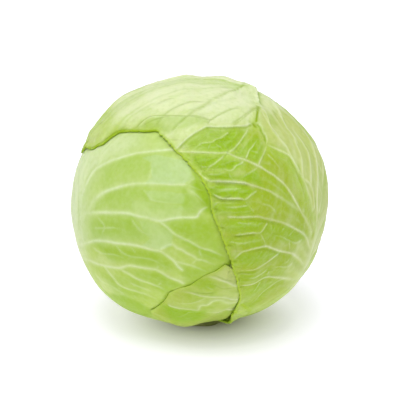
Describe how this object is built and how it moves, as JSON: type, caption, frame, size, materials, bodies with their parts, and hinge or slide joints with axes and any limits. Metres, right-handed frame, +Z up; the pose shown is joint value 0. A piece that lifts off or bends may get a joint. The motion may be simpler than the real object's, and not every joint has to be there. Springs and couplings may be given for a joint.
{
  "type": "cabbage head",
  "caption": "Round head of green cabbage, trimmed of loose leaves, its wrapper leaves lapping over each other with raised ribs, standing on its cut stem.",
  "frame": {"origin": "under the middle of the head, on the surface it rests on, at the level of the stem's cut face", "axes": "+Z up from the cut stem to the crown, -Y towards the front, where two leaf edges cross, +X to the right seen from the front"},
  "size_m": [0.1816, 0.1834, 0.1769],
  "materials": {
    "outer_leaf": "waxy",
    "inner_leaf": "waxy",
    "stem": "cut"
  },
  "bodies": {
    "root": {"stem": "stem", "inner_head": "inner_leaf", "leaf_left": "outer_leaf", "leaf_front": "outer_leaf", "leaf_back": "outer_leaf", "leaf_right": "outer_leaf"}
  },
  "joints": []
}
